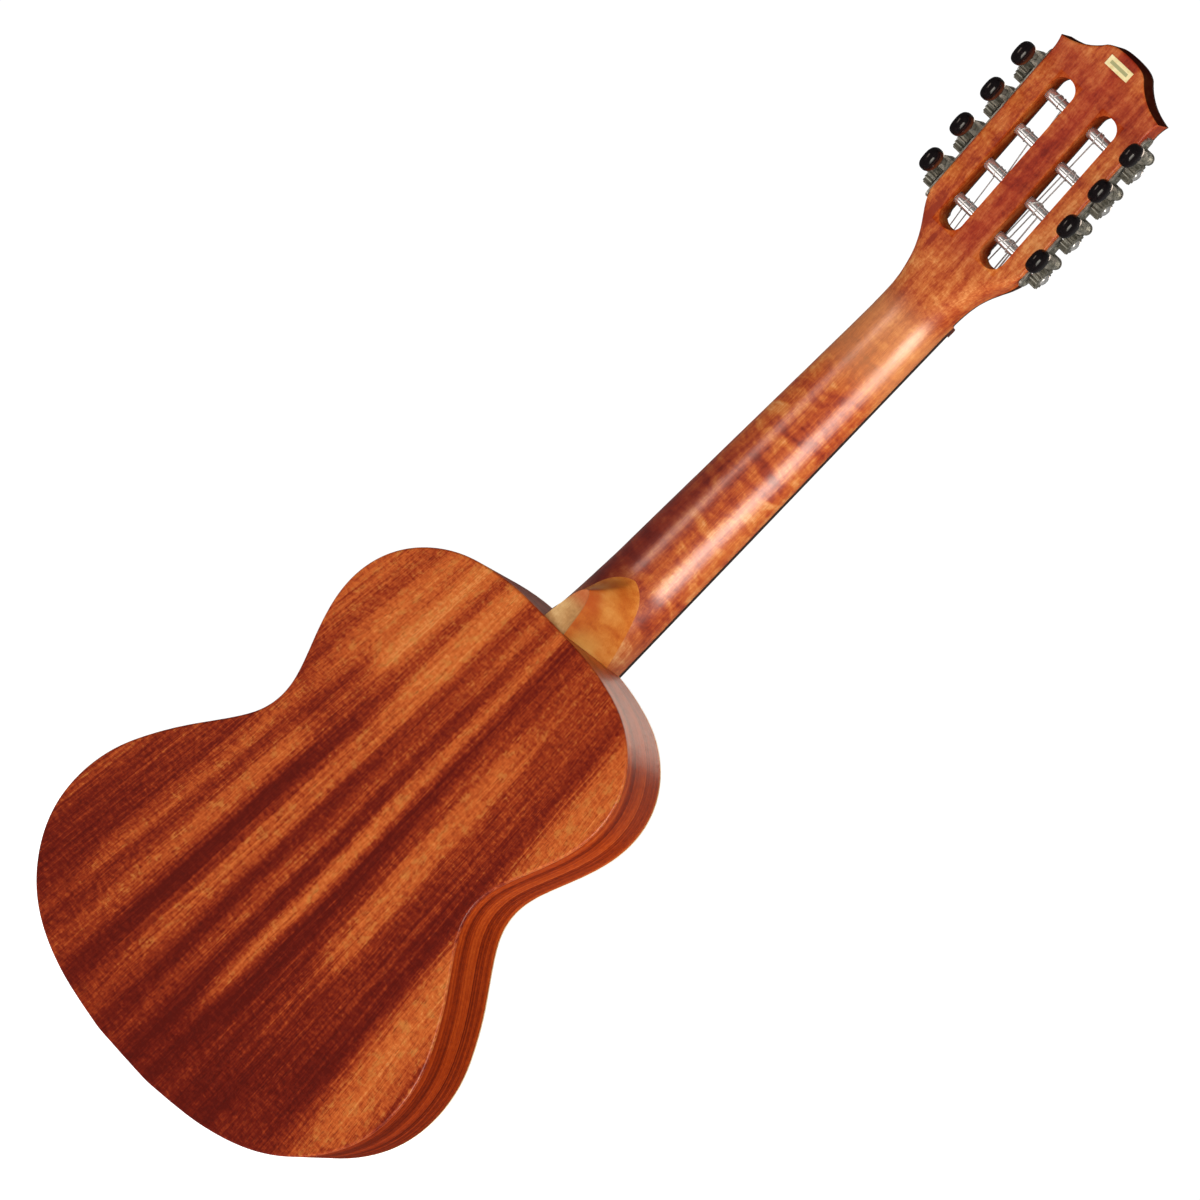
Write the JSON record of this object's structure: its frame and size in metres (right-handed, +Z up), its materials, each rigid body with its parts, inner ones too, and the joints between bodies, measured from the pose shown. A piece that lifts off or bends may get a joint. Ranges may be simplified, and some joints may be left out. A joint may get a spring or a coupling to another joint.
{
  "type": "charango",
  "caption": "Small guitar-shaped Andean lute with a slotted headstock, double string courses and worm-geared tuning machines.",
  "frame": {"origin": "centre line of the neck, in the plane of the soundboard and neck top, at the nut's playing edge, just under the headstock, where a hanger's yoke takes it", "axes": "+Z up the neck towards the headstock, soundboard facing -Y, back facing +Y, +X on the treble side"},
  "size_m": [0.224, 0.0882, 0.6632],
  "materials": {
    "back_mahogany": "satin, straight ribbon grain",
    "side_mahogany": "satin, long grain lines",
    "spruce": "satin, fine straight grain",
    "internal_cedar": "raw",
    "brace_spruce": "raw",
    "rosette_inlay": "satin wood mosaic",
    "dark_rosewood": "satin",
    "bone": "polished bone",
    "neck_mahogany": "gloss",
    "heel_mahogany": "gloss",
    "pale_label": "satin, blank",
    "nickel_silver": "polished",
    "pearl_dot": "pearl",
    "nickel_plate": "aged nickel plate",
    "gear_metal": "aged nickel",
    "chrome_roller": "polished",
    "black_knob": "gloss",
    "nylon_string": "clear nylon"
  },
  "bodies": {
    "body": {"back_plate": "back_mahogany", "soundboard": "spruce", "side_bass": "side_mahogany", "side_treble": "side_mahogany", "neck_block": "internal_cedar", "tail_block": "internal_cedar", "linings": "internal_cedar", "top_braces": "brace_spruce", "back_braces": "brace_spruce", "bridge_plate": "internal_cedar", "rosette": "rosette_inlay", "bridge": "dark_rosewood", "saddle": "bone", "neck": "neck_mahogany", "heel": "heel_mahogany", "headstock_veneer": "dark_rosewood", "headstock_label": "pale_label", "fretboard": "dark_rosewood", "frets": "nickel_silver", "fret_dots": "pearl_dot", "nut": "bone", "strings_course_1": "nylon_string", "strings_course_2": "nylon_string", "strings_course_3": "nylon_string", "strings_course_4": "nylon_string", "tuner_plate_bass": "nickel_plate", "tuner_plate_treble": "nickel_plate", "plate_screws": "nickel_plate"},
    "bass_button_1": {"bass_button_1": "black_knob", "bass_worm_1": "nickel_plate"},
    "bass_roller_1": {"bass_roller_1": "chrome_roller", "bass_gear_1": "gear_metal"},
    "bass_button_2": {"bass_button_2": "black_knob", "bass_worm_2": "nickel_plate"},
    "bass_roller_2": {"bass_roller_2": "chrome_roller", "bass_gear_2": "gear_metal"},
    "bass_button_3": {"bass_button_3": "black_knob", "bass_worm_3": "nickel_plate"},
    "bass_roller_3": {"bass_roller_3": "chrome_roller", "bass_gear_3": "gear_metal"},
    "bass_button_4": {"bass_button_4": "black_knob", "bass_worm_4": "nickel_plate"},
    "bass_roller_4": {"bass_roller_4": "chrome_roller", "bass_gear_4": "gear_metal"},
    "treble_button_1": {"treble_button_1": "black_knob", "treble_worm_1": "nickel_plate"},
    "treble_roller_1": {"treble_roller_1": "chrome_roller", "treble_gear_1": "gear_metal"},
    "treble_button_2": {"treble_button_2": "black_knob", "treble_worm_2": "nickel_plate"},
    "treble_roller_2": {"treble_roller_2": "chrome_roller", "treble_gear_2": "gear_metal"},
    "treble_button_3": {"treble_button_3": "black_knob", "treble_worm_3": "nickel_plate"},
    "treble_roller_3": {"treble_roller_3": "chrome_roller", "treble_gear_3": "gear_metal"},
    "treble_button_4": {"treble_button_4": "black_knob", "treble_worm_4": "nickel_plate"},
    "treble_roller_4": {"treble_roller_4": "chrome_roller", "treble_gear_4": "gear_metal"}
  },
  "joints": [
    {"name": "bass_button_1_turn", "type": "hinge", "parent": "body", "child": "bass_button_1", "pos_m": [-0.0355, 0.02285, 0.05783], "axis": [0, 0.9714, -0.2373], "continuous": true},
    {"name": "bass_roller_1_turn", "type": "hinge", "parent": "body", "child": "bass_roller_1", "pos_m": [0, 0.02085, 0.04967], "axis": [1, 0, 0], "continuous": true},
    {"name": "bass_button_2_turn", "type": "hinge", "parent": "body", "child": "bass_button_2", "pos_m": [-0.0355, 0.02802, 0.07901], "axis": [0, 0.9714, -0.2373], "continuous": true},
    {"name": "bass_roller_2_turn", "type": "hinge", "parent": "body", "child": "bass_roller_2", "pos_m": [0, 0.02603, 0.07085], "axis": [1, 0, 0], "continuous": true},
    {"name": "bass_button_3_turn", "type": "hinge", "parent": "body", "child": "bass_button_3", "pos_m": [-0.0355, 0.0332, 0.10018], "axis": [0, 0.9714, -0.2373], "continuous": true},
    {"name": "bass_roller_3_turn", "type": "hinge", "parent": "body", "child": "bass_roller_3", "pos_m": [0, 0.0312, 0.09202], "axis": [1, 0, 0], "continuous": true},
    {"name": "bass_button_4_turn", "type": "hinge", "parent": "body", "child": "bass_button_4", "pos_m": [-0.0355, 0.03837, 0.12136], "axis": [0, 0.9714, -0.2373], "continuous": true},
    {"name": "bass_roller_4_turn", "type": "hinge", "parent": "body", "child": "bass_roller_4", "pos_m": [0, 0.03638, 0.1132], "axis": [1, 0, 0], "continuous": true},
    {"name": "treble_button_1_turn", "type": "hinge", "parent": "body", "child": "treble_button_1", "pos_m": [0.0355, 0.02285, 0.05783], "axis": [0, 0.9714, -0.2373], "continuous": true},
    {"name": "treble_roller_1_turn", "type": "hinge", "parent": "body", "child": "treble_roller_1", "pos_m": [0, 0.02085, 0.04967], "axis": [1, 0, 0], "continuous": true},
    {"name": "treble_button_2_turn", "type": "hinge", "parent": "body", "child": "treble_button_2", "pos_m": [0.0355, 0.02802, 0.07901], "axis": [0, 0.9714, -0.2373], "continuous": true},
    {"name": "treble_roller_2_turn", "type": "hinge", "parent": "body", "child": "treble_roller_2", "pos_m": [0, 0.02603, 0.07085], "axis": [1, 0, 0], "continuous": true},
    {"name": "treble_button_3_turn", "type": "hinge", "parent": "body", "child": "treble_button_3", "pos_m": [0.0355, 0.0332, 0.10018], "axis": [0, 0.9714, -0.2373], "continuous": true},
    {"name": "treble_roller_3_turn", "type": "hinge", "parent": "body", "child": "treble_roller_3", "pos_m": [0, 0.0312, 0.09202], "axis": [1, 0, 0], "continuous": true},
    {"name": "treble_button_4_turn", "type": "hinge", "parent": "body", "child": "treble_button_4", "pos_m": [0.0355, 0.03837, 0.12136], "axis": [0, 0.9714, -0.2373], "continuous": true},
    {"name": "treble_roller_4_turn", "type": "hinge", "parent": "body", "child": "treble_roller_4", "pos_m": [0, 0.03638, 0.1132], "axis": [1, 0, 0], "continuous": true}
  ],
  "couplings": [
    {"joint": "bass_roller_1_turn", "follows": "bass_button_1_turn", "ratio": 0.071429},
    {"joint": "bass_roller_2_turn", "follows": "bass_button_2_turn", "ratio": 0.071429},
    {"joint": "bass_roller_3_turn", "follows": "bass_button_3_turn", "ratio": 0.071429},
    {"joint": "bass_roller_4_turn", "follows": "bass_button_4_turn", "ratio": 0.071429},
    {"joint": "treble_roller_1_turn", "follows": "treble_button_1_turn", "ratio": 0.071429},
    {"joint": "treble_roller_2_turn", "follows": "treble_button_2_turn", "ratio": 0.071429},
    {"joint": "treble_roller_3_turn", "follows": "treble_button_3_turn", "ratio": 0.071429},
    {"joint": "treble_roller_4_turn", "follows": "treble_button_4_turn", "ratio": 0.071429}
  ]
}
